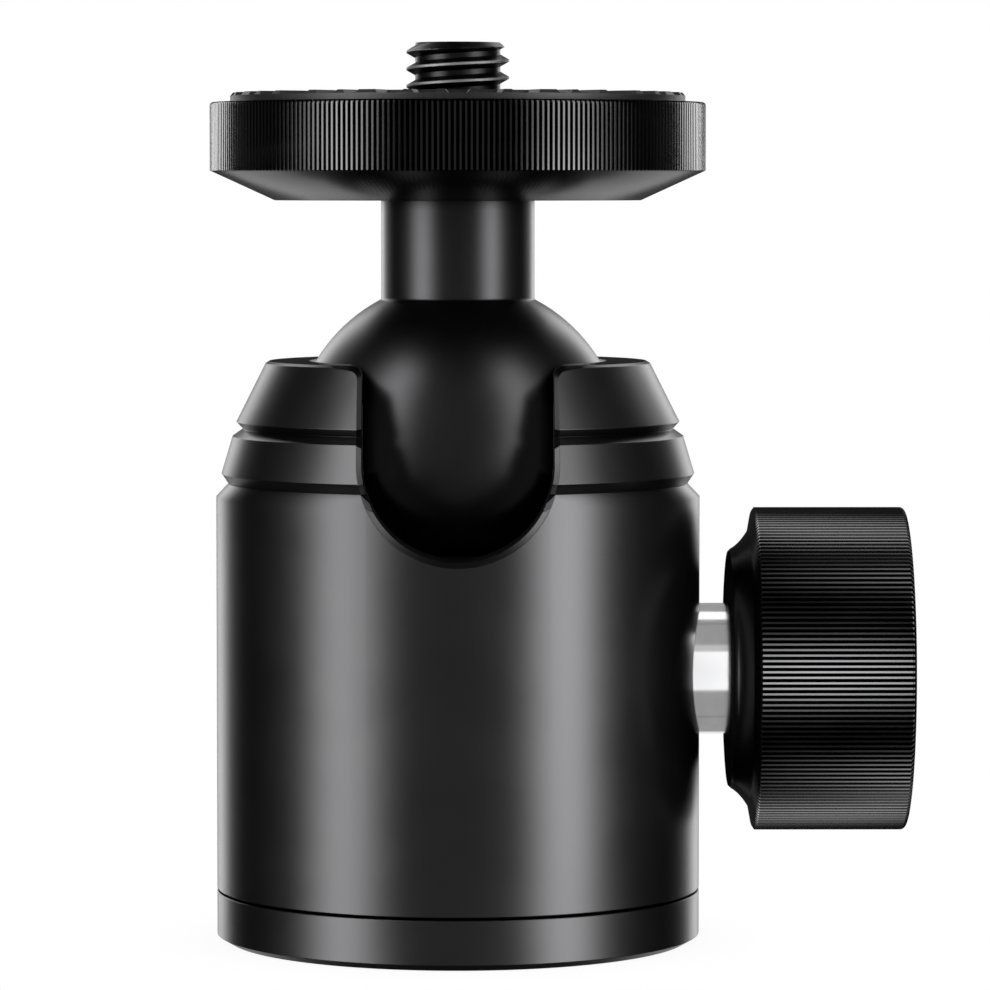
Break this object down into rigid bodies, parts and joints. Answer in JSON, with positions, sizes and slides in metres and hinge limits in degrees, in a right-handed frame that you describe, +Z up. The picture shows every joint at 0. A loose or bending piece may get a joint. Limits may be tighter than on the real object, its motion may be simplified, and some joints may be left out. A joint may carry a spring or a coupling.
{
  "type": "tripod ball head",
  "caption": "Ball head with a panning base, a side clamp knob, a ball held by a slotted collar, and a round knurled platform with a camera stud.",
  "frame": {"origin": "centre of the base's underside, at the mouth of the thread socket, on the panning axis", "axes": "+Z up along the panning axis and the upright neck, +X towards the clamp knob, the neck slot opens towards -Y"},
  "size_m": [0.0646, 0.046, 0.0834],
  "materials": {
    "anodised_body": "satin",
    "anodised_ball": "satin",
    "anodised_knurl": "satin",
    "black_steel": "gloss",
    "polished_steel": "polished",
    "spring_steel": "satin",
    "bearing_bronze": "satin",
    "seat_plastic": "matte",
    "pad_rubber": "matte"
  },
  "bodies": {
    "base": {"base_plate": "anodised_body", "base_thread_insert": "spring_steel", "pan_thrust_washer": "seat_plastic", "pan_spring_washer": "spring_steel", "pan_retaining_ring": "spring_steel"},
    "housing": {"housing": "anodised_body", "housing_floor": "anodised_body", "floor_screws": "spring_steel", "spindle_bush": "bearing_bronze", "collar": "anodised_body", "seat_liner": "seat_plastic", "collar_lock_screw": "black_steel"},
    "knob": {"clamp_spindle": "polished_steel", "spindle_washer": "spring_steel", "spindle_retaining_ring": "spring_steel", "knob": "anodised_knurl", "knob_screw": "black_steel", "knob_cap": "anodised_body"},
    "wedge": {"wedge_block": "bearing_bronze"},
    "cup": {"ball_cup": "seat_plastic"},
    "ball": {"ball_stem": "anodised_ball"},
    "platform": {"platform": "anodised_knurl", "platform_pad": "pad_rubber", "stud_washer": "spring_steel", "camera_stud": "black_steel"}
  },
  "joints": [
    {"name": "base_pan", "type": "hinge", "parent": "base", "child": "housing", "pos_m": [0, 0, 0], "axis": [0, 0, 1], "continuous": true},
    {"name": "ball_tilt", "type": "hinge", "parent": "housing", "child": "ball", "pos_m": [0, 0, 0.046], "axis": [1, 0, 0], "range_deg": [-31, 90]},
    {"name": "ball_twist", "type": "hinge", "parent": "ball", "child": "platform", "pos_m": [0, 0, 0.046], "axis": [0, 0, 1], "continuous": true},
    {"name": "knob_turn", "type": "hinge", "parent": "housing", "child": "knob", "pos_m": [0, 0, 0.02522], "axis": [1, 0, 0], "range_deg": [-720, 0]},
    {"name": "wedge_slide", "type": "slide", "parent": "housing", "child": "wedge", "axis": [1, 0, 0], "range_m": [0, 0.002]},
    {"name": "cup_lift", "type": "slide", "parent": "housing", "child": "cup", "axis": [0, 0, 1], "range_m": [0, 0.0003]}
  ],
  "couplings": [
    {"joint": "wedge_slide", "follows": "knob_turn", "m_per_rad": -0.00015915},
    {"joint": "cup_lift", "follows": "knob_turn", "m_per_rad": -0.000023872}
  ]
}
